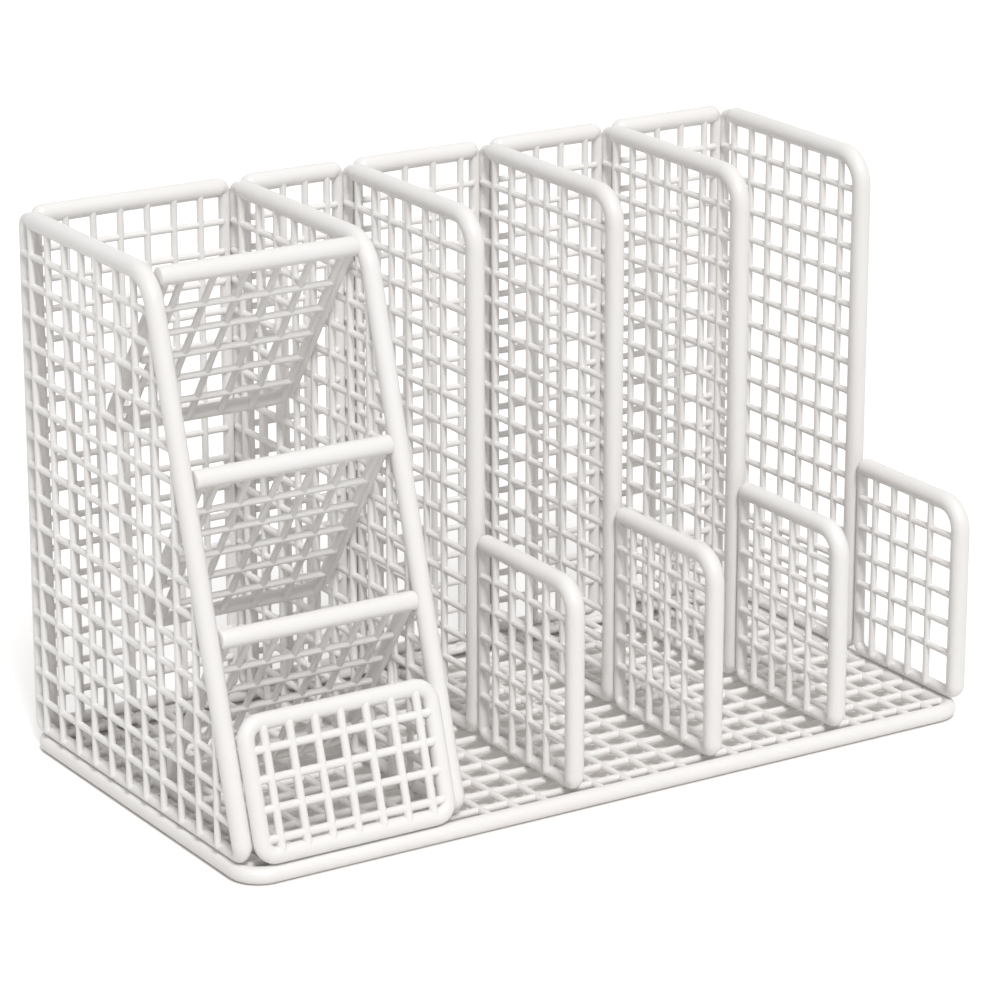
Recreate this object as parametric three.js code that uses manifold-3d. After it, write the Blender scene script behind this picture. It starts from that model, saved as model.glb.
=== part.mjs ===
// Desktop file rack made of welded rod-and-wire panels.
// Millimetres. +X runs to the right along the row of file slots, +Y to the back, +Z up.
// The origin is in the middle of the footprint, on the desk.
import * as THREE from 'three';
import { mergeVertices } from 'three/addons/utils/BufferGeometryUtils.js';
import Module from 'manifold-3d';

const wasm = await Module();
wasm.setup();

// Overall size
const WIDTH = 400;
const DEPTH = 212;
const HEIGHT = 264;

// Stock
const ROD = 9; // top rails and front uprights
const BASE_ROD = 8;
const SLIM_ROD = 5.4; // rear uprights and bottom rails
const TIER_ROD = 6.5; // bent rods of the tiers
const LIP_ROD = 8; // small front panel
const WIRE = 3; // grid wire, across the flats
const LIP_WIRE = 3.6;
const GAP = 0.3; // clearance between pieces that touch
const LAYER_GAP = 0.1; // clearance between crossing wires
const WIRE_RECESS = 0.2; // outer wires lie this far under the crown of the rod
const ROD_SIDES = 8;
const END_ROUND = 0.4; // rounding of a rod's end, as a share of its radius

// Bends, measured on the centre line of the rod
const BASE_BEND = 12;
const TIER_BEND = 9;
const LIP_FOOT_BEND = 6.5;
const LIP_TOP_BEND = 8;
const CORNER_BEND = 4.5; // slim corners of the upright panels
const FOOT_BEND = 5.2; // where a slim bottom rail turns up into a thick rod
const HEAD_BEND = 5.2; // where a thick top rail turns down into a slim upright
const LOW_ELBOW = 12;
const PEN_ELBOW = 18;
const TALL_ELBOW = 14;
const SOFT_BEND = 5; // bends from here on take two steps, tighter ones take one
const WIDE_BEND = 12; // bends from here on take three steps
const DRAW_IN = 10; // a side's top rail draws in from this distance to its slim corner

// Planes of the upright panels, from the left end of the base
const PEN_RIGHT_X = 114;
const DIVIDER_X = [175.5, 252.5, 324, WIDTH - ROD / 2];

// Depths, from the front edge of the base
const TALL_FRONT_Y = 91; // front upright of the dividers
const LOW_FRONT_Y = 6; // front upright of the low panels
const PEN_FOOT_Y = 9.5; // foot of the slanted rods
const PEN_TOP_Y = 84; // where the slanted rods would meet their top rails

// Heights
const LOW_TOP_Z = 106; // top rail of the low panels
const LIP_LENGTH = 59; // from rail to rail of the small front panel
const LIP_LAP = 1.5; // it reaches this far in front of the slanted rods
const TIER_RISE = [0.9754, 0.6515, 0.394]; // top rails of the tiers, as shares of the height
const TIER_FALL = 0.322; // drop of each tier, as a share of the height
const TIER_RUN = 59; // each tier runs back by this much
const TIER_INSET = 2.5; // the top tier sits this far behind the slope, on the elbow

// Grid. The gaps run from the centre line of a frame rod to the first wire.
const BASE_PITCH = 15.5;
const BASE_ROWS = 13;
const BASE_FRONT_GAP = 10;
const BASE_REAR_GAP = 8;
const TALL_ROWS = 16;
const TALL_ROW_GAPS = [15, 16]; // above the bottom rail, below the top rail
const LOW_ROWS = 5;
const LOW_ROW_GAPS = [20.5, 15.4];
const PEN_WIRES = 11;
const PEN_GAPS = [10.8, 19]; // at the back, at the foot
const DIVIDER_WIRES = [6, 6, 7, 7];
const DIVIDER_GAPS = [[14, 24], [14, 24], [12, 13], [12, 13]];
const LOW_WIRES = 4;
const LOW_GAPS = [14, 20];
const BACK_WIRES = [6, 4, 4, 4, 4];
const BACK_SHARES = [1, 0.6, 0.6, 0.6, 0.6]; // end gaps against the pitch
const TIER_WIRES = 6;
const TIER_EDGES = [[8, 3.8], [8, 3.8], [11, 11]]; // beside the left and right rod of each
const TIER_ROWS = 5;
const TIER_ROW_GAPS = [15, 20.5];
const LIP_WIRES = 7;
const LIP_SHARE = 0.65;
const LIP_ROWS = 4;
const LIP_ROW_GAPS = [7.2, 12];

// Derived positions
const rodR = ROD / 2;
const baseR = BASE_ROD / 2;
const slimR = SLIM_ROD / 2;
const tierR = TIER_ROD / 2;
const lipR = LIP_ROD / 2;
const backY = DEPTH - rodR;
const topZ = HEIGHT - rodR;
const footZ = BASE_ROD + GAP; // underside of everything that stands on the base
const standZ = footZ + slimR;
const cornerRatio = Math.cos(Math.PI / ROD_SIDES); // flats against corners of a rod
const lipZ = footZ + lipR / cornerRatio;
const slope = (PEN_TOP_Y - PEN_FOOT_Y) / (topZ - lipZ);
const slopeAngle = Math.atan(slope);

// Materials
const white = { color: 0xf1efec, roughness: 0.42, metalness: 0.1 };

// Stations along the centre line of a bent rod, in the plane of its panel. The points may have
// bends, and rIn is the radius at the start of a bend where it isn't r. The heading is the way
// the rod runs at a station.
function stationsOf(points, closed) {
  const at = points.map(({ u, v }) => new THREE.Vector2(u, v));
  const count = at.length;
  return points.flatMap(({ bend, r, rIn = r }, i) => {
    const here = at[i];
    const arrive = here.clone().sub(at[(i + count - 1) % count]).normalize();
    const leave = at[(i + 1) % count].clone().sub(here).normalize();
    if (!bend) {
      const heading = !closed && i === count - 1 ? arrive : leave;
      return [{ at: here, heading, r }];
    }
    const turn = Math.atan2(arrive.cross(leave), arrive.dot(leave));
    const side = Math.sign(turn) * bend;
    const start = here.clone().addScaledVector(arrive, -bend * Math.tan(Math.abs(turn) / 2));
    const centre = new THREE.Vector2(-arrive.y, arrive.x).multiplyScalar(side).add(start);
    const steps = 1 + (bend >= SOFT_BEND) + (bend >= WIDE_BEND);
    return Array.from({ length: steps + 1 }, (_, k) => {
      const heading = arrive.clone().rotateAround(new THREE.Vector2(), (turn * k) / steps);
      const out = new THREE.Vector2(heading.y, -heading.x).multiplyScalar(side);
      return { at: centre.clone().add(out), heading, r: rIn + ((r - rIn) * k) / steps };
    });
  });
}

// Rings of the rod's skin. The ends of an open rod are rounded off.
function ringsOf(rings, closed) {
  if (closed) return rings;
  const { r } = rings[0];
  const round = END_ROUND * r;
  const first = rings[0];
  const last = rings[rings.length - 1];
  const shifted = (ring, by, radius) => (
    { at: ring.at.clone().addScaledVector(ring.heading, by), heading: ring.heading, r: radius }
  );
  return [
    shifted(first, 0, r - round),
    shifted(first, round, r),
    ...rings.slice(1, -1),
    shifted(last, -round, r),
    shifted(last, 0, r - round),
  ];
}

function rodSolid({ points, closed }) {
  const rings = ringsOf(stationsOf(points, closed), closed);
  const positions = [];
  const index = [];
  const turn = (2 * Math.PI) / ROD_SIDES;
  for (const ring of rings) {
    const across = ring.r / Math.cos(turn / 2);
    for (let j = 0; j < ROD_SIDES; j += 1) {
      const angle = turn * (j + 0.5);
      const n = across * Math.cos(angle);
      const u = ring.at.x + ring.heading.y * n;
      const v = ring.at.y - ring.heading.x * n;
      positions.push(u, v, across * Math.sin(angle));
    }
  }
  const links = closed ? rings.length : rings.length - 1;
  for (let i = 0; i < links; i += 1) {
    for (let j = 0; j < ROD_SIDES; j += 1) {
      const next = (j + 1) % ROD_SIDES;
      const ahead = ((i + 1) % rings.length) * ROD_SIDES;
      index.push(i * ROD_SIDES + j, ahead + j, i * ROD_SIDES + next);
      index.push(i * ROD_SIDES + next, ahead + j, ahead + next);
    }
  }
  if (!closed) {
    const tail = links * ROD_SIDES;
    for (let j = 1; j < ROD_SIDES - 1; j += 1) {
      index.push(0, j, j + 1);
      index.push(tail, tail + j + 1, tail + j);
    }
  }
  const geometry = new THREE.BufferGeometry();
  geometry.setAttribute('position', new THREE.Float32BufferAttribute(positions, 3));
  geometry.setIndex(index);
  return solidOf(geometry);
}

// Where a line across the panel meets the centre line of its frame
function spanOf(outline, along, level) {
  const across = along === 'x' ? 'y' : 'x';
  const hits = [];
  outline.forEach(({ at }, i) => {
    const next = outline[(i + 1) % outline.length].at;
    const low = Math.min(at[across], next[across]);
    const high = Math.max(at[across], next[across]);
    if (level >= low && level < high) {
      const t = (level - at[across]) / (next[across] - at[across]);
      hits.push(at[along] + t * (next[along] - at[along]));
    }
  });
  return [Math.min(...hits), Math.max(...hits)];
}

function wireBar(outline, along, level, layer, wire) {
  const [from, to] = spanOf(outline, along, level);
  const length = to - from;
  const middle = (from + to) / 2;
  if (along === 'x') {
    return new THREE.BoxGeometry(length, wire, wire).translate(middle, level, layer);
  }
  return new THREE.BoxGeometry(wire, length, wire).translate(level, middle, layer);
}

function solidOf(geometry) {
  geometry.deleteAttribute('normal');
  geometry.deleteAttribute('uv');
  const merged = mergeVertices(geometry, 1e-5);
  return new wasm.Manifold(new wasm.Mesh({
    numProp: 3,
    vertProperties: new Float32Array(merged.attributes.position.array),
    triVerts: new Uint32Array(merged.index.array),
  }));
}

function geometryOf(solid) {
  const mesh = solid.getMesh();
  const geometry = new THREE.BufferGeometry();
  geometry.setAttribute('position', new THREE.BufferAttribute(mesh.vertProperties, 3));
  geometry.setIndex(new THREE.BufferAttribute(mesh.triVerts, 1));
  geometry.computeVertexNormals();
  return geometry;
}

// Even positions from the first to the last
function between(count, first, last) {
  const step = (last - first) / Math.max(count - 1, 1);
  return Array.from({ length: count }, (_, i) => first + step * i);
}

// Even positions inside a bay. The share says how wide the end gaps are against the pitch.
function spread(count, from, to, share = 1) {
  const pitch = (to - from) / (count - 1 + 2 * share);
  return between(count, from + pitch * share, to - pitch * share);
}

const rack = new THREE.Group();
rack.name = 'desktop_file_rack';
const floorPlan = new THREE.Group();
floorPlan.name = 'floor_plan';
floorPlan.position.set(-WIDTH / 2, -DEPTH / 2, 0);
rack.add(floorPlan);

// Points of a rod, with its radius where they give none of their own
function sized(r, points) {
  return points.map((point) => ({ r, ...point }));
}

// One welded panel inside a loop of rod. The upright wires run along v on the outer side and the
// rows run along u behind them.
function panelSolid(loop, frame, uprights, rows, frameR = rodR, wire = WIRE) {
  const uprightLayer = frameR - WIRE_RECESS - wire / 2;
  const rowLayer = uprightLayer - wire - LAYER_GAP;
  const path = stationsOf(loop, true);
  let solid = frame;
  for (const u of uprights) {
    solid = solid.add(solidOf(wireBar(path, 'y', u, uprightLayer, wire)));
  }
  for (const v of rows) {
    solid = solid.add(solidOf(wireBar(path, 'x', v, rowLayer, wire)));
  }
  return solid;
}

function loopPanel(loop, uprights, rows, frameR, wire) {
  return panelSolid(loop, rodSolid({ points: loop, closed: true }), uprights, rows, frameR, wire);
}

function place(name, solid, rotation, position) {
  const mesh = new THREE.Mesh(geometryOf(solid), new THREE.MeshStandardMaterial(white));
  mesh.name = name;
  mesh.rotation.set(...rotation);
  mesh.position.set(...position);
  floorPlan.add(mesh);
}

// Side panels are drawn from the back to the front as seen from the left end, so u is minus Y.
const sidePose = [Math.PI / 2, -Math.PI / 2, 0];

// Frame of a side panel: a slim rear upright and bottom rail, and a thick rod from the foot over
// the elbow to the rear. The last points are those of the rear top corner.
function sideLoop(frontFoot, elbow, rearY, rearTop) {
  return [
    { u: -rearY, v: standZ, bend: CORNER_BEND, r: slimR },
    { u: frontFoot, v: standZ, bend: FOOT_BEND, rIn: slimR, r: rodR },
    { ...elbow, r: rodR },
    ...rearTop,
  ];
}

const tallRearTop = [
  { u: -backY + DRAW_IN, v: topZ, r: rodR },
  { u: -backY, v: topZ, bend: CORNER_BEND, r: slimR },
];

const tallRows = between(TALL_ROWS, standZ + TALL_ROW_GAPS[0], topZ - TALL_ROW_GAPS[1]);
const lowRows = between(LOW_ROWS, standZ + LOW_ROW_GAPS[0], LOW_TOP_Z - LOW_ROW_GAPS[1]);

// Sides of the pen compartment
const penSide = sideLoop(
  -PEN_FOOT_Y + slope * (lipZ - standZ),
  { u: -PEN_TOP_Y, v: topZ, bend: PEN_ELBOW },
  backY,
  tallRearTop,
);
const penWires = between(PEN_WIRES, -backY + PEN_GAPS[0], -PEN_FOOT_Y - PEN_GAPS[1]);
const penSolid = loopPanel(penSide, penWires, tallRows);
place('pen_side_left', penSolid, sidePose, [rodR, 0, 0]);
place('pen_side_right', penSolid, sidePose, [PEN_RIGHT_X, 0, 0]);

// Tall dividers and the low panels in front of them
const divider = sideLoop(
  -TALL_FRONT_Y,
  { u: -TALL_FRONT_Y, v: topZ, bend: TALL_ELBOW },
  backY,
  tallRearTop,
);
const lowRear = TALL_FRONT_Y - rodR - GAP - slimR;
const low = sideLoop(
  -LOW_FRONT_Y,
  { u: -LOW_FRONT_Y, v: LOW_TOP_Z, bend: LOW_ELBOW },
  lowRear,
  [{ u: -lowRear, v: LOW_TOP_Z, bend: HEAD_BEND, rIn: rodR, r: slimR }],
);
const lowWires = between(LOW_WIRES, -lowRear + LOW_GAPS[0], -LOW_FRONT_Y - LOW_GAPS[1]);
const lowSolid = loopPanel(low, lowWires, lowRows);
DIVIDER_X.forEach((x, i) => {
  const [rearGap, frontGap] = DIVIDER_GAPS[i];
  const wires = between(DIVIDER_WIRES[i], -backY + rearGap, -TALL_FRONT_Y - frontGap);
  const tallSolid = loopPanel(divider, wires, tallRows);
  place(`divider_${i + 1}`, tallSolid, sidePose, [x, 0, 0]);
  place(`low_front_${i + 1}`, lowSolid, sidePose, [x, 0, 0]);
});

// Back panels, one behind each bay
const bays = [rodR, PEN_RIGHT_X, ...DIVIDER_X];
for (let i = 0; i < bays.length - 1; i += 1) {
  const left = bays[i] + slimR + GAP + slimR;
  const right = bays[i + 1] - slimR - GAP - slimR;
  const loop = sized(slimR, [
    { u: left, v: standZ, bend: CORNER_BEND },
    { u: right, v: standZ, bend: CORNER_BEND },
    { u: right, v: topZ, bend: HEAD_BEND, r: rodR, rIn: slimR },
    { u: left, v: topZ, bend: HEAD_BEND, rIn: rodR },
  ]);
  const wires = spread(BACK_WIRES[i], left, right, BACK_SHARES[i]);
  const solid = loopPanel(loop, wires, tallRows);
  place(i === 0 ? 'back_pen' : `back_${i}`, solid, [Math.PI / 2, 0, 0], [0, backY, 0]);
}

// Inclined tiers: a straight top rail and a slim rod bent round the other three sides
const tierLeft = rodR + rodR + GAP;
const tierRight = PEN_RIGHT_X - rodR - GAP;
const tierDrop = TIER_FALL * HEIGHT;
const tierLength = Math.hypot(tierDrop, TIER_RUN);
const tierLean = Math.atan2(TIER_RUN, tierDrop);
const tierCorners = sized(tierR, [
  { u: tierLeft + tierR, v: 0 },
  { u: tierLeft + tierR, v: -tierLength, bend: TIER_BEND },
  { u: tierRight - tierR, v: -tierLength, bend: TIER_BEND },
  { u: tierRight - tierR, v: 0 },
]);
const tierRail = sized(rodR, [{ u: tierLeft, v: 0 }, { u: tierRight, v: 0 }]);
const tierFrame = rodSolid({ points: tierCorners, closed: false })
  .add(rodSolid({ points: tierRail, closed: false }));
const tierRows = between(TIER_ROWS, -tierLength + TIER_ROW_GAPS[0], -TIER_ROW_GAPS[1]);
['tier_top', 'tier_middle', 'tier_bottom'].forEach((name, i) => {
  const [edgeLeft, edgeRight] = TIER_EDGES[i];
  const wires = between(TIER_WIRES, tierCorners[0].u + edgeLeft, tierCorners[3].u - edgeRight);
  const z = TIER_RISE[i] * HEIGHT;
  const y = PEN_FOOT_Y + slope * (z - lipZ) + (i === 0 ? TIER_INSET : 0);
  const solid = panelSolid(tierCorners, tierFrame, wires, tierRows);
  place(name, solid, [Math.PI / 2 + tierLean, 0, 0], [0, y, z]);
});

// Small front panel of the pen compartment. It leans with the slanted rods and lies against
// their front.
const reach = rodR + lipR + GAP;
const lipForward = Math.sqrt(reach ** 2 - (reach - LIP_LAP) ** 2) / Math.cos(slopeAngle);
const lipLeft = rodR + reach - LIP_LAP;
const lipRight = PEN_RIGHT_X - reach + LIP_LAP;
const lipLoop = sized(lipR, [
  { u: lipLeft, v: 0, bend: LIP_FOOT_BEND },
  { u: lipRight, v: 0, bend: LIP_FOOT_BEND },
  { u: lipRight, v: LIP_LENGTH, bend: LIP_TOP_BEND },
  { u: lipLeft, v: LIP_LENGTH, bend: LIP_TOP_BEND },
]);
const lipWires = spread(LIP_WIRES, lipLeft, lipRight, LIP_SHARE);
const lipRows = between(LIP_ROWS, LIP_ROW_GAPS[0], LIP_LENGTH - LIP_ROW_GAPS[1]);
place(
  'pen_front',
  loopPanel(lipLoop, lipWires, lipRows, lipR, LIP_WIRE),
  [Math.PI / 2 - slopeAngle, 0, 0],
  [0, PEN_FOOT_Y - lipForward, lipZ],
);

// Base, with upright wires only between the bottom rails that cross it
const baseLoop = sized(baseR, [
  { u: baseR, v: baseR, bend: BASE_BEND },
  { u: WIDTH - baseR, v: baseR, bend: BASE_BEND },
  { u: WIDTH - baseR, v: DEPTH - baseR, bend: BASE_BEND },
  { u: baseR, v: DEPTH - baseR, bend: BASE_BEND },
]);
const baseWires = bays.slice(1).flatMap((x, i) => {
  const count = Math.round((x - bays[i]) / BASE_PITCH) - 1;
  return spread(count, bays[i], x);
});
const baseRows = between(BASE_ROWS, baseR + BASE_FRONT_GAP, DEPTH - baseR - BASE_REAR_GAP);
const base = loopPanel(baseLoop, baseWires, baseRows, baseR);
place('base_grid', base, [0, 0, 0], [0, 0, baseR]);

export default rack;
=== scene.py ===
import math
from collections import namedtuple

import bpy
import numpy as np
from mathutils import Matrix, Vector


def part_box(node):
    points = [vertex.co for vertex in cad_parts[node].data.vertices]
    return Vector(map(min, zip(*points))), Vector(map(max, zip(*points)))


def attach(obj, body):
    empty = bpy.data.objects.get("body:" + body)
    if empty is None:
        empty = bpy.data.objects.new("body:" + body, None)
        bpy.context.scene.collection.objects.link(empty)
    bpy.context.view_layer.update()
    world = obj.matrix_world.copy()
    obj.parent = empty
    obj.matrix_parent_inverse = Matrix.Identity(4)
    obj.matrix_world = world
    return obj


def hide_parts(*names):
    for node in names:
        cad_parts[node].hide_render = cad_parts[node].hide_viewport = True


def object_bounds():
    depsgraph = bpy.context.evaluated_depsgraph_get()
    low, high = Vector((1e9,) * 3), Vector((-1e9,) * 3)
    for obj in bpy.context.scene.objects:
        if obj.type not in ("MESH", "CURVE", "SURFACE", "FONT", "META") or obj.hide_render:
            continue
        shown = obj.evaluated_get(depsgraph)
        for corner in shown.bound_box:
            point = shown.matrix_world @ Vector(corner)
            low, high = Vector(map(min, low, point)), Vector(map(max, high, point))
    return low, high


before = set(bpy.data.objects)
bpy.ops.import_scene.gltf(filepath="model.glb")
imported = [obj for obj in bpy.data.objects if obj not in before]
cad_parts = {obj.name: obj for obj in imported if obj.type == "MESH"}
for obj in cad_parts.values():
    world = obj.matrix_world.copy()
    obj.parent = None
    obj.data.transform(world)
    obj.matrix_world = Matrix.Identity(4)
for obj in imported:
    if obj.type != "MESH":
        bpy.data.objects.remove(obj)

cad_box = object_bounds()
MM = 0.001

# Stock, as radii
ROD = 4.5 * MM
BASE_ROD = 4 * MM
SLIM_ROD = 2.7 * MM
TIER_ROD = 3.25 * MM
LIP_ROD = 4 * MM
WIRE = 1.65 * MM  # round wires with about the section of the CAD's square ones
LIP_WIRE = 2 * MM
BASE_WIRE = 1.85 * MM

# Wires lie off the middle of the panel. The uprights are proud of the rows, and both are sunk
# into each other at the welds.
UPRIGHT_LAYER = 2.4 * MM
ROW_LAYER = 2.1 * MM
BASE_LAYERS = (2.05 * MM, 1.75 * MM)
TIER_LAYERS = (2.3 * MM, 2.6 * MM)  # on the tiers the rows are proud instead
LIP_LAYERS = (1.9 * MM, 1.5 * MM)
FOOT_LAP = 0.9 * MM  # the lower tips of uprights reach this far past the middle of a rod
SIDE_LAP = -0.9 * MM  # the tips of rows end this far before the middle of a slim upright
TIER_LAP = -1.9 * MM  # and those of the tiers this far before the middle of their rods

# Bends, on the centre line
CORNER_BEND = 4.5 * MM
FOOT_BEND = 5.2 * MM  # where a slim bottom rail turns up into a thick rod
HEAD_BEND = 3.2 * MM  # where a thick top rail turns down into a slim upright
DRAW_IN = 10 * MM  # a side's top rail draws in from this distance to its slim corner
BASE_BEND = 12 * MM
TIER_BEND = 9 * MM
LIP_FOOT_BEND = 6.5 * MM
LIP_TOP_BEND = 8 * MM
LOW_ELBOW = 12 * MM
PEN_ELBOW = 18 * MM
TALL_ELBOW = 14 * MM

# Counts of wires, and the gaps from the middle of a rod to that of the first and last wire: rear
# then front, bottom then top, or left then right
TALL_ROWS, TALL_ROW_GAPS = 16, (15 * MM, 16 * MM)
LOW_ROWS, LOW_ROW_GAPS = 5, (20.5 * MM, 15.4 * MM)
LOW_WIRES, LOW_GAPS = 4, (14 * MM, 20 * MM)
PEN_WIRES, PEN_GAPS = 11, (10.8 * MM, 19 * MM)
DIVIDER_WIRES = (6, 6, 7, 7)
DIVIDER_GAPS = ((14 * MM, 24 * MM), (14 * MM, 24 * MM), (12 * MM, 13 * MM), (12 * MM, 13 * MM))
TIER_WIRES = 6
TIER_EDGES = {
    "tier_top": (8 * MM, 3.8 * MM),
    "tier_middle": (8 * MM, 3.8 * MM),
    "tier_bottom": (11 * MM, 11 * MM),
}
TIER_ROWS, TIER_ROW_GAPS = 5, (15 * MM, 20.5 * MM)
LIP_ROWS, LIP_ROW_GAPS = 4, (7.2 * MM, 12 * MM)
BASE_ROWS, BASE_ROW_GAPS = 13, (10 * MM, 8 * MM)
BASE_PITCH = 15.5 * MM

# Counts of wires, and the end gaps as a share of the pitch
BACK_WIRES = {"back_pen": (6, 1.0), "back_1": (4, 0.6), "back_2": (4, 0.6),
              "back_3": (4, 0.6), "back_4": (4, 0.6)}
LIP_WIRES, LIP_SHARE = 7, 0.65

# Slopes and lengths
PEN_FOOT_INSET = 9.5 * MM  # foot of the slanted rods, from the front
PEN_TOP_INSET = 84 * MM  # where they would meet their top rails
TIER_FALL = 0.322  # drop of a tier, as a share of the height
TIER_RUN = 59 * MM
LIP_LENGTH = 59 * MM
SOLID_SIDES = 8  # the solids' rods have flats, and their corners reach further out

# Fineness of the meshes
ROD_SIDES = 28
SLIM_SIDES = 24
WIRE_SIDES = 12
BEND_STEP = math.radians(6)
DOME_RINGS = 5
TIP_RINGS = 3
TIP_RADIUS = 0.02 * MM  # of a wire's outermost rings
DRAW_STEPS = 8
DRAW_LIMIT = 0.3 * MM  # smaller changes of radius get no rings of their own
RAIL_DOME = 0.2  # rounding of a tier rail's ends, as a share of the radius

# Weld and coating build-up where a wire meets another bar
FILLET_RISE = 0.05 * MM
FILLET_RUN = 1.0 * MM
ROD_FILLET_RISE = 0.12 * MM
ROD_FILLET_RUN = 1.0 * MM
SHOULDER = 0.25  # of the rise, half way along a fillet's run
LEAST_HALF_WIDTH = 0.3 * MM  # of a bar, as cut at a layer close to its crown or past it


# A point of a rod's centre line, with the bend there and the radius after it. r_in is the radius
# at the start of the bend where it isn't r.
Corner = namedtuple("Corner", "u v bend r r_in", defaults=(None,))


class Skin:
    """The skin of one panel, as points in (u, v, w) and faces."""

    def __init__(self):
        self.points = []
        self.faces = []
        self.count = 0

    def add_bar(self, path, headings, radii, sides, closed=False):
        """A round bar. The path holds one (u, v, w) for each ring."""
        angle = np.arange(sides) * 2 * math.pi / sides
        reach = np.asarray(radii)[:, None] * np.cos(angle)
        rise = np.asarray(radii)[:, None] * np.sin(angle)
        path = np.asarray(path, float)
        headings = np.asarray(headings, float)
        rings = np.stack(
            [
                path[:, 0, None] + headings[:, 1, None] * reach,
                path[:, 1, None] - headings[:, 0, None] * reach,
                path[:, 2, None] + rise,
            ],
            axis=-1,
        )
        total = len(path)
        j = np.arange(sides)
        after = (j + 1) % sides
        for i in range(total if closed else total - 1):
            here = self.count + i * sides
            ahead = self.count + ((i + 1) % total) * sides
            quads = np.stack([here + j, ahead + j, ahead + after, here + after], axis=-1)
            self.faces.extend(quads.tolist())
        if not closed:
            last = self.count + (total - 1) * sides
            self.faces.append([self.count + k for k in range(sides)])
            self.faces.append([last + k for k in reversed(range(sides))])
        self.points.append(rings.reshape(-1, 3))
        self.count += total * sides

    def add_piece(self, node, origin, u_axis, v_axis):
        """The panel as an object in the frame of the rack, in place of the solid named node."""
        u_axis, v_axis = Vector(u_axis).normalized(), Vector(v_axis).normalized()
        axes = np.array([u_axis, v_axis, u_axis.cross(v_axis)])
        placed = np.concatenate(self.points) @ axes + np.array(origin)
        name = node + "_coated"
        mesh = bpy.data.meshes.new(name)
        mesh.from_pydata(placed.tolist(), [], self.faces)
        mesh.shade_smooth()
        piece = bpy.data.objects.new(name, mesh)
        bpy.context.scene.collection.objects.link(piece)
        piece.data.materials.append(coat)
        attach(piece, "root")
        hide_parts(node)


def ease(t):
    """From 0 to 1 with soft ends."""
    return t * t * (3 - 2 * t)


def centre_line(corners, closed):
    """Places, headings and radii along a bent rod."""
    line = []
    count = len(corners)
    for i, corner in enumerate(corners):
        here = Vector((corner.u, corner.v))
        arrive = (here - Vector(corners[i - 1][:2])).normalized()
        leave = (Vector(corners[(i + 1) % count][:2]) - here).normalized()
        if not corner.bend:
            heading = arrive if i == count - 1 and not closed else leave
            line.append((here, heading, corner.r))
            continue
        turn = math.atan2(arrive.x * leave.y - arrive.y * leave.x, arrive.dot(leave))
        side = math.copysign(corner.bend, turn)
        start = here - arrive * corner.bend * math.tan(abs(turn) / 2)
        centre = start + Vector((-arrive.y, arrive.x)) * side
        r_in = corner.r if corner.r_in is None else corner.r_in
        steps = max(2, math.ceil(abs(turn) / BEND_STEP))
        for k in range(steps + 1):
            angle = math.atan2(arrive.y, arrive.x) + turn * k / steps
            heading = Vector((math.cos(angle), math.sin(angle)))
            radius = r_in + (corner.r - r_in) * ease(k / steps)
            line.append((centre + Vector((heading.y, -heading.x)) * side, heading, radius))
    return drawn(line, closed)


def drawn(line, closed):
    """The line with places added where the radius changes along a straight run."""
    result = []
    for i, (spot, heading, radius) in enumerate(line):
        result.append((spot, heading, radius))
        after, _, radius_after = line[(i + 1) % len(line)]
        if abs(radius_after - radius) > DRAW_LIMIT and (closed or i < len(line) - 1):
            for k in range(1, DRAW_STEPS):
                t = k / DRAW_STEPS
                change = (radius_after - radius) * ease(t)
                result.append((spot.lerp(after, t), heading, radius + change))
    return result


def add_rod(skin, corners, sides=ROD_SIDES, closed=False, dome=0.5):
    """A rod, bent at its corners. Open ends are domed, by a share of the radius."""
    line = centre_line(corners, closed)
    if not closed:
        line = domed(line[0], dome, 1) + line[1:-1] + domed(line[-1], dome, -1)
    path = [(spot.x, spot.y, 0) for spot, _, _ in line]
    skin.add_bar(path, [(h.x, h.y) for _, h, _ in line], [r for _, _, r in line], sides, closed)


def domed(end, dome, inward):
    """Rings of a rounded end, in the order of the rod. inward is 1 at its start, -1 at its end."""
    tip, heading, radius = end
    edge = radius * dome
    rings = []
    for k in range(DOME_RINGS + 1):
        t = math.pi / 2 * k / DOME_RINGS
        spot = tip + heading * inward * edge * (1 - math.cos(t))
        rings.append((spot, heading, radius - edge * (1 - math.sin(t))))
    return rings[::inward]


def add_wire(skin, along, level, start, end, w, meets, radius=WIRE):
    """A straight wire with round tips. It swells where it meets another bar.

    meets lists the other bars as (place along the wire, half the width there, rise, run).
    """
    stations = {}
    for place, half, rise, run in meets:
        low_rise = rise * SHOULDER
        for offset, swell in ((-half - run, 0), (-half - run / 2, low_rise), (-half, rise),
                              (half, rise), (half + run / 2, low_rise), (half + run, 0)):
            at = place + offset
            if start + radius < at < end - radius:
                stations[at] = max(swell, stations.get(at, 0))
    tips = [math.pi / 2 * k / TIP_RINGS for k in range(TIP_RINGS + 1)]
    places = [(start + radius * (1 - math.sin(t)), radius * math.cos(t)) for t in reversed(tips)]
    places += [(at, radius + stations[at]) for at in sorted(stations)]
    places += [(end - radius * (1 - math.sin(t)), radius * math.cos(t)) for t in tips]
    radii = [max(r, TIP_RADIUS) for _, r in places]
    if along == "u":
        path = [(at, level, w) for at, _ in places]
        heading = (1, 0)
    else:
        path = [(level, at, w) for at, _ in places]
        heading = (0, 1)
    skin.add_bar(path, [heading] * len(path), radii, WIRE_SIDES)


def crossing(outline, along, level):
    """Where a line across the panel meets its outline, lowest and highest, with the radii."""
    a, c = (0, 1) if along == "u" else (1, 0)
    hits = []
    for i, (here, _, radius) in enumerate(outline):
        after = outline[(i + 1) % len(outline)][0]
        low, high = sorted((here[c], after[c]))
        if low <= level < high:
            t = (level - here[c]) / (after[c] - here[c])
            hits.append((here[a] + t * (after[a] - here[a]), radius))
    return min(hits), max(hits)


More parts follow.
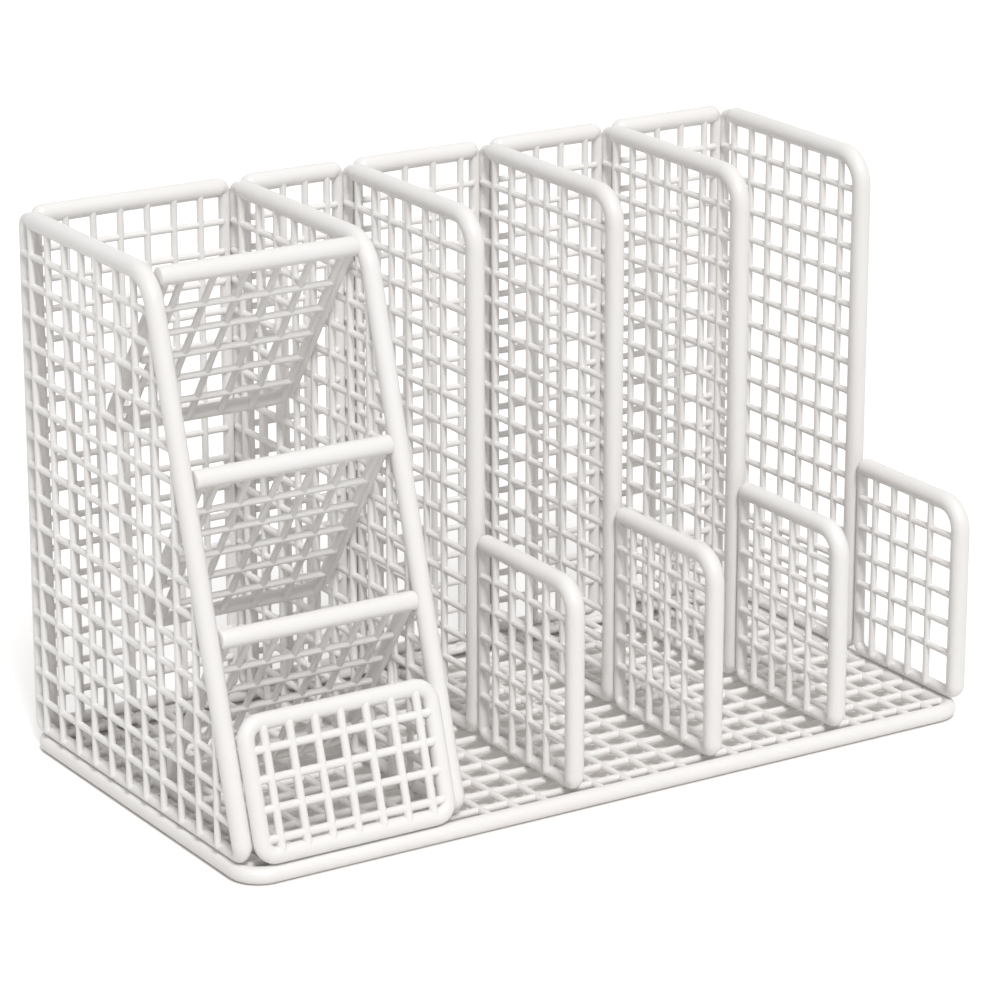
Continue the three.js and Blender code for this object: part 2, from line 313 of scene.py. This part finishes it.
def half_width(radius, layer):
    """Half the width of a round bar as cut at a layer off its middle."""
    return math.sqrt(max(radius ** 2 - layer ** 2, LEAST_HALF_WIDTH ** 2))


def add_grid(skin, loop, uprights, rows, laps, layers=(UPRIGHT_LAYER, ROW_LAYER), wire=WIRE):
    """Wires across a loop of rod, uprights along v and rows along u.

    laps says how far the tips reach past the middle of the rod: of the uprights at the bottom and
    top, and of the rows at low and high u.
    """
    outline = centre_line(loop, True)
    sunk = half_width(wire, layers[0] - layers[1])
    jobs = [("v", u, rows, layers[0], laps[:2]) for u in uprights]
    jobs += [("u", v, uprights, layers[1], laps[2:]) for v in rows]
    for along, level, others, layer, (lap_start, lap_end) in jobs:
        (start, r_start), (end, r_end) = crossing(outline, along, level)
        meets = [(at, sunk, FILLET_RISE, FILLET_RUN) for at in others if start < at < end]
        for at, radius in ((start, r_start), (end, r_end)):
            meets.append((at, half_width(radius, layer), ROD_FILLET_RISE, ROD_FILLET_RUN))
        add_wire(skin, along, level, start - lap_start, end + lap_end, layer, meets, wire)


def between(count, first, last):
    """Even places from the first to the last."""
    return [first + (last - first) * i / (count - 1) for i in range(count)]


def across(count, start, end, gaps):
    """Even places inside a bay, with the gaps at its ends given."""
    return between(count, start + gaps[0], end - gaps[1])


def spread(count, start, end, share=1.0):
    """Even places inside a bay. The share says how wide the end gaps are against the pitch."""
    pitch = (end - start) / (count - 1 + 2 * share)
    return between(count, start + pitch * share, end - pitch * share)


def middle(node, axis):
    low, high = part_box(node)
    return (low[axis] + high[axis]) / 2


# Coat: colours, scales of its patterns, gloss and the depth of its bumps
COAT_LIGHT = (0.878, 0.867, 0.856)
COAT_WARM = (0.858, 0.84, 0.825)
COAT_SPECK = (0.9, 0.89, 0.88)
CLOUD_SCALE = 14
SPECK_SCALE = 2600
GLOSS_SCALE = 60
PEEL_SCALE = 850
RUNS_SCALE = 170
ROUGHNESS = (0.28, 0.46)
PEEL_STRENGTH, PEEL_DEPTH = 0.25, 0.08 * MM
RUNS_STRENGTH, RUNS_DEPTH = 0.2, 0.1 * MM


def fresh_tree(owner):
    """The emptied node tree of a material or world."""
    owner.use_nodes = True
    owner.node_tree.nodes.clear()
    return owner.node_tree.nodes, owner.node_tree.links


def map_range(nodes, links, source, values, smooth=False):
    """A Map Range node. Values sets its inputs by name."""
    node = nodes.new("ShaderNodeMapRange")
    if smooth:
        node.interpolation_type = "SMOOTHSTEP"
    for name, value in values.items():
        node.inputs[name].default_value = value
    links.new(source, node.inputs["Value"])
    return node.outputs["Result"]


def mix_colour(nodes):
    node = nodes.new("ShaderNodeMix")
    node.data_type = "RGBA"
    return node


def seen_directly(nodes, links):
    """1 for rays from the camera and in reflections, else 0."""
    rays = nodes.new("ShaderNodeLightPath")
    seen = nodes.new("ShaderNodeMath")
    seen.operation = "MAXIMUM"
    links.new(rays.outputs["Is Camera Ray"], seen.inputs[0])
    links.new(rays.outputs["Is Glossy Ray"], seen.inputs[1])
    return seen.outputs[0]


def coat_material():
    """White powder coat: a fine orange peel, slightly uneven gloss and tone, dust in the coat."""
    material = bpy.data.materials.new("powder_coat")
    material.use_nodes = True
    nodes, links = material.node_tree.nodes, material.node_tree.links
    shader = nodes["Principled BSDF"]
    shader.inputs["Metallic"].default_value = 0.0
    shader.inputs["IOR"].default_value = 1.5
    place = nodes.new("ShaderNodeTexCoord")

    def noise(scale, detail, roughness=0.5):
        node = nodes.new("ShaderNodeTexNoise")
        node.inputs["Scale"].default_value = scale
        node.inputs["Detail"].default_value = detail
        node.inputs["Roughness"].default_value = roughness
        links.new(place.outputs["Object"], node.inputs["Vector"])
        return node.outputs["Fac"]

    def ramp(source, stops):
        node = nodes.new("ShaderNodeValToRGB")
        elements = node.color_ramp.elements
        while len(elements) < len(stops):
            elements.new(0.5)
        for element, (position, colour) in zip(elements, stops):
            element.position = position
            element.color = (*colour, 1)
        links.new(source, node.inputs["Fac"])
        return node.outputs["Color"]

    def bump(height, strength, depth):
        node = nodes.new("ShaderNodeBump")
        node.inputs["Strength"].default_value = strength
        node.inputs["Distance"].default_value = depth
        links.new(height, node.inputs["Height"])
        return node

    cloud = ramp(noise(CLOUD_SCALE, 3), ((0.3, COAT_WARM), (0.7, COAT_LIGHT)))
    speck_stops = ((0.0, COAT_SPECK), (0.3, COAT_SPECK), (0.34, (1, 1, 1)))
    specks = ramp(noise(SPECK_SCALE, 2, 0.7), speck_stops)
    tone = mix_colour(nodes)
    tone.blend_type = "MULTIPLY"
    tone.inputs["Factor"].default_value = 1.0
    links.new(cloud, tone.inputs["A"])
    links.new(specks, tone.inputs["B"])
    links.new(tone.outputs["Result"], shader.inputs["Base Color"])

    gloss = map_range(nodes, links, noise(GLOSS_SCALE, 4),
                      {"To Min": ROUGHNESS[0], "To Max": ROUGHNESS[1]})
    links.new(gloss, shader.inputs["Roughness"])

    peel = bump(noise(PEEL_SCALE, 2), PEEL_STRENGTH, PEEL_DEPTH)
    runs = bump(noise(RUNS_SCALE, 1), RUNS_STRENGTH, RUNS_DEPTH)
    links.new(peel.outputs["Normal"], runs.inputs["Normal"])
    links.new(runs.outputs["Normal"], shader.inputs["Normal"])
    return material


coat = coat_material()

# Places that the panels share, from the frame
_, side_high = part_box("pen_side_left")
BACK_Y = side_high.y - ROD
TOP_Z = side_high.z - ROD
FOOT_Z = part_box("divider_1")[0].z
STAND_Z = FOOT_Z + SLIM_ROD
FRONT_Y = cad_box[0].y

# Side panels: u runs to the front, v up and w to the left.
tall_rows = across(TALL_ROWS, STAND_Z, TOP_Z, TALL_ROW_GAPS)


def side_panel(node, front_foot, elbow, rear_y, rear_top, wires, rows):
    """A slim rear upright and bottom rail, and a thick rod from the foot over the elbow."""
    loop = [
        Corner(-rear_y, STAND_Z, CORNER_BEND, SLIM_ROD),
        Corner(front_foot, STAND_Z, FOOT_BEND, ROD, SLIM_ROD),
        Corner(*elbow, ROD),
        *rear_top,
    ]
    skin = Skin()
    add_rod(skin, loop, closed=True)
    add_grid(skin, loop, wires, rows, (FOOT_LAP, 0, SIDE_LAP, 0))
    skin.add_piece(node, (middle(node, 0), 0, 0), (0, -1, 0), (0, 0, 1))


tall_rear_top = [
    Corner(-BACK_Y + DRAW_IN, TOP_Z, 0, ROD),
    Corner(-BACK_Y, TOP_Z, CORNER_BEND, SLIM_ROD),
]

# Pen compartment sides, with the slanted rod at the front
PEN_FOOT_Y = FRONT_Y + PEN_FOOT_INSET
PEN_TOP_Y = FRONT_Y + PEN_TOP_INSET
LIP_Z = FOOT_Z + LIP_ROD / math.cos(math.pi / SOLID_SIDES)
SLOPE = (PEN_TOP_Y - PEN_FOOT_Y) / (TOP_Z - LIP_Z)
pen_foot = -PEN_FOOT_Y + SLOPE * (LIP_Z - STAND_Z)
pen_elbow = (-PEN_TOP_Y, TOP_Z, PEN_ELBOW)
pen_wires = across(PEN_WIRES, -BACK_Y, -PEN_FOOT_Y, PEN_GAPS)
for name in ("pen_side_left", "pen_side_right"):
    side_panel(name, pen_foot, pen_elbow, BACK_Y, tall_rear_top, pen_wires, tall_rows)

# Tall dividers and the low panels in front of them
tall_u = -(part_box("divider_1")[0].y + ROD)
low_node_low, low_node_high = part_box("low_front_1")
low_u = -(low_node_low.y + ROD)
low_rear = low_node_high.y - SLIM_ROD
low_top = low_node_high.z - ROD
low_rear_top = [Corner(-low_rear, low_top, HEAD_BEND, SLIM_ROD, ROD)]
low_rows = across(LOW_ROWS, STAND_Z, low_top, LOW_ROW_GAPS)
low_wires = across(LOW_WIRES, -low_rear, low_u, LOW_GAPS)
for i, (count, gaps) in enumerate(zip(DIVIDER_WIRES, DIVIDER_GAPS), start=1):
    wires = across(count, -BACK_Y, tall_u, gaps)
    side_panel(f"divider_{i}", tall_u, (tall_u, TOP_Z, TALL_ELBOW), BACK_Y, tall_rear_top,
               wires, tall_rows)
    side_panel(f"low_front_{i}", low_u, (low_u, low_top, LOW_ELBOW), low_rear, low_rear_top,
               low_wires, low_rows)

# Back panels: u runs to the right, v up and w to the front.
for name, (count, share) in BACK_WIRES.items():
    low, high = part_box(name)
    left, right = low.x + SLIM_ROD, high.x - SLIM_ROD
    loop = [
        Corner(left, STAND_Z, CORNER_BEND, SLIM_ROD),
        Corner(right, STAND_Z, CORNER_BEND, SLIM_ROD),
        Corner(right, TOP_Z, HEAD_BEND, ROD, SLIM_ROD),
        Corner(left, TOP_Z, HEAD_BEND, SLIM_ROD, ROD),
    ]
    skin = Skin()
    add_rod(skin, loop, closed=True)
    add_grid(skin, loop, spread(count, left, right, share), tall_rows,
             (FOOT_LAP, 0, SIDE_LAP, SIDE_LAP))
    skin.add_piece(name, (0, BACK_Y, 0), (1, 0, 0), (0, 0, 1))

# Tiers: v runs up and forwards along the slope, from the middle of the top rail.
tier_drop = TIER_FALL * side_high.z
tier_length = math.hypot(tier_drop, TIER_RUN)
tier_rows = across(TIER_ROWS, -tier_length, 0, TIER_ROW_GAPS)
for name, edges in TIER_EDGES.items():
    low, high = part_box(name)
    left, right = low.x + TIER_ROD, high.x - TIER_ROD
    bent = [
        Corner(left, 0, 0, TIER_ROD),
        Corner(left, -tier_length, TIER_BEND, TIER_ROD),
        Corner(right, -tier_length, TIER_BEND, TIER_ROD),
        Corner(right, 0, 0, TIER_ROD),
    ]
    skin = Skin()
    add_rod(skin, [Corner(low.x, 0, 0, ROD), Corner(high.x, 0, 0, ROD)], dome=RAIL_DOME)
    add_rod(skin, bent, SLIM_SIDES)
    wires = across(TIER_WIRES, left, right, edges)
    add_grid(skin, bent, wires, tier_rows, (FOOT_LAP, 0, TIER_LAP, TIER_LAP), TIER_LAYERS)
    top = (0, low.y + ROD, high.z - ROD)
    skin.add_piece(name, top, (1, 0, 0), (0, -TIER_RUN, tier_drop))

# The small leaning panel at the front. It leans with the slanted rods.
low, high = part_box("pen_front")
left, right = low.x + LIP_ROD, high.x - LIP_ROD
loop = [
    Corner(left, 0, LIP_FOOT_BEND, LIP_ROD),
    Corner(right, 0, LIP_FOOT_BEND, LIP_ROD),
    Corner(right, LIP_LENGTH, LIP_TOP_BEND, LIP_ROD),
    Corner(left, LIP_LENGTH, LIP_TOP_BEND, LIP_ROD),
]
skin = Skin()
add_rod(skin, loop, closed=True)
lip_wires = spread(LIP_WIRES, left, right, LIP_SHARE)
lip_rows = across(LIP_ROWS, 0, LIP_LENGTH, LIP_ROW_GAPS)
add_grid(skin, loop, lip_wires, lip_rows, (FOOT_LAP, 0, 0, SIDE_LAP), LIP_LAYERS, LIP_WIRE)
lip_slope = math.atan(SLOPE)
skin.add_piece("pen_front", (0, low.y + LIP_ROD, LIP_Z), (1, 0, 0),
               (0, math.sin(lip_slope), math.cos(lip_slope)))

# Base: u runs to the right, v to the back and w up.
low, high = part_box("base_grid")
left, right = low.x + BASE_ROD, high.x - BASE_ROD
near, far = low.y + BASE_ROD, high.y - BASE_ROD
loop = [Corner(u, v, BASE_BEND, BASE_ROD)
        for u, v in ((left, near), (right, near), (right, far), (left, far))]
panels = ["pen_side_left", "pen_side_right", "divider_1", "divider_2", "divider_3", "divider_4"]
planes = [middle(name, 0) for name in panels]
wires = []
for here, after in zip(planes, planes[1:]):
    wires += spread(round((after - here) / BASE_PITCH) - 1, here, after)
skin = Skin()
add_rod(skin, loop, closed=True)
base_rows = across(BASE_ROWS, near, far, BASE_ROW_GAPS)
add_grid(skin, loop, wires, base_rows, (0, 0, 0, 0), BASE_LAYERS, BASE_WIRE)
skin.add_piece("base_grid", (0, 0, low.z + BASE_ROD), (1, 0, 0), (0, 1, 0))

# Floor. It glows white for the camera and in reflections. Over the rack's footprint the glow drops
# nearly to nothing and the floor's colour is darker and warmer: a painted shade under the rack,
# with a thin painted contact shadow along the footprint's edge.
FLOOR_SIZE = 30
FOOT_CORNER = BASE_BEND + BASE_ROD  # rounding of the rack's footprint
# The painted shade fades out across a thin band at the footprint's outline, which reads as a
# painted contact shadow
PAINTED_SHADE_IN, PAINTED_SHADE_OUT = 2 * MM, 1.2 * MM  # the change lies this far inside and outside its outline
# The first colour and glow are for over the rack's footprint: darker, warmer and dimmer, a painted
# shade; the second ones are the floor's own
FLOOR_UNDER_PAINTED_SHADE = (0.8, 0.775, 0.75, 1)
FLOOR_CLEAR = (0.82, 0.815, 0.81, 1)
GLOW_UNDER_PAINTED_SHADE, GLOW_CLEAR = 0.06, 0.45
bpy.ops.mesh.primitive_plane_add(size=FLOOR_SIZE)
floor = bpy.context.object
floor.name = "floor"
ground = bpy.data.materials.new("floor_white_painted_shade")
nodes, links = fresh_tree(ground)

# Distance from the rack's footprint, which is shrunk by the rounding of its corners
spot = nodes.new("ShaderNodeTexCoord")
source = spot.outputs["Object"]
for operation, value in (("ABSOLUTE", None),
                         ("SUBTRACT", (cad_box[1].x - FOOT_CORNER, cad_box[1].y - FOOT_CORNER, 0)),
                         ("MAXIMUM", (0, 0, 0)),
                         ("LENGTH", None)):
    step = nodes.new("ShaderNodeVectorMath")
    step.operation = operation
    if value:
        step.inputs[1].default_value = value
    links.new(source, step.inputs[0])
    source = step.outputs["Value" if operation == "LENGTH" else "Vector"]
# Painted shade mask: 0 over the footprint, rising to 1 across the band at its outline
edge = {"From Min": FOOT_CORNER - PAINTED_SHADE_IN, "From Max": FOOT_CORNER + PAINTED_SHADE_OUT}
clear = map_range(nodes, links, source, edge, smooth=True)

matte = nodes.new("ShaderNodeBsdfDiffuse")
# Floor colour, darker and warmer over the footprint as painted shade
shade = mix_colour(nodes)
shade.inputs["A"].default_value = FLOOR_UNDER_PAINTED_SHADE
shade.inputs["B"].default_value = FLOOR_CLEAR
links.new(clear, shade.inputs["Factor"])
links.new(shade.outputs["Result"], matte.inputs["Color"])

glow = nodes.new("ShaderNodeEmission")
# Glow for the camera and in reflections, kept low over the footprint as painted shade
gleam = map_range(nodes, links, clear, {"To Min": GLOW_UNDER_PAINTED_SHADE, "To Max": GLOW_CLEAR})
level = nodes.new("ShaderNodeMath")
level.operation = "MULTIPLY"
links.new(seen_directly(nodes, links), level.inputs[0])
links.new(gleam, level.inputs[1])
links.new(level.outputs[0], glow.inputs["Strength"])

both = nodes.new("ShaderNodeAddShader")
out = nodes.new("ShaderNodeOutputMaterial")
links.new(matte.outputs[0], both.inputs[0])
links.new(glow.outputs[0], both.inputs[1])
links.new(both.outputs[0], out.inputs["Surface"])
floor.data.materials.append(ground)

# World: a soft studio dome, brighter overhead, and white behind the object
SKY_TOP = 0.62
SKY_SIDE = 0.18
SKY_HEIGHTS = (0.1, 0.9)  # between these, as the sine of the elevation, it changes
SKY_COLOUR = (1, 0.985, 0.965, 1)
world = bpy.data.worlds.new("studio")
bpy.context.scene.world = world
nodes, links = fresh_tree(world)
way = nodes.new("ShaderNodeTexCoord")
split = nodes.new("ShaderNodeSeparateXYZ")
links.new(way.outputs["Generated"], split.inputs[0])
dome = map_range(nodes, links, split.outputs["Z"], {
    "From Min": SKY_HEIGHTS[0], "From Max": SKY_HEIGHTS[1], "To Min": SKY_SIDE, "To Max": SKY_TOP})
light = nodes.new("ShaderNodeBackground")
light.inputs["Color"].default_value = SKY_COLOUR
links.new(dome, light.inputs["Strength"])
white = nodes.new("ShaderNodeBackground")
white.inputs["Color"].default_value = (1, 1, 1, 1)
white.inputs["Strength"].default_value = 1.0
choose = nodes.new("ShaderNodeMixShader")
out = nodes.new("ShaderNodeOutputWorld")
links.new(seen_directly(nodes, links), choose.inputs["Fac"])
links.new(light.outputs[0], choose.inputs[1])
links.new(white.outputs[0], choose.inputs[2])
links.new(choose.outputs[0], out.inputs["Surface"])

# A large soft key from the upper front left
KEY_STRENGTH = 2.04
KEY_ANGLE = math.radians(14)
KEY_FROM = Vector((-0.2, -0.62, 0.76))
sun = bpy.data.lights.new("key", "SUN")
sun.energy = KEY_STRENGTH
sun.angle = KEY_ANGLE
key = bpy.data.objects.new("key", sun)
key.rotation_euler = KEY_FROM.to_track_quat("Z", "Y").to_euler()
bpy.context.scene.collection.objects.link(key)

# Camera at the photograph's viewing angle, fitted to the photo
SENSOR_WIDTH = 36
LENS = 157.35
FAR_CLIP = 100
CAMERA_PLACE = Vector((-1.0491, -1.6541, 0.7574))
LOOK_AT = Vector((-0.0065, -0.0081, 0.1198))
camera_data = bpy.data.cameras.new("camera")
camera_data.sensor_width = SENSOR_WIDTH
camera_data.lens = LENS
camera_data.clip_end = FAR_CLIP
camera = bpy.data.objects.new("camera", camera_data)
camera.location = CAMERA_PLACE
camera.rotation_euler = (LOOK_AT - CAMERA_PLACE).to_track_quat("-Z", "Y").to_euler()
bpy.context.scene.collection.objects.link(camera)
bpy.context.scene.camera = camera
bpy.context.scene.view_settings.view_transform = "Standard"

bpy.context.view_layer.update()
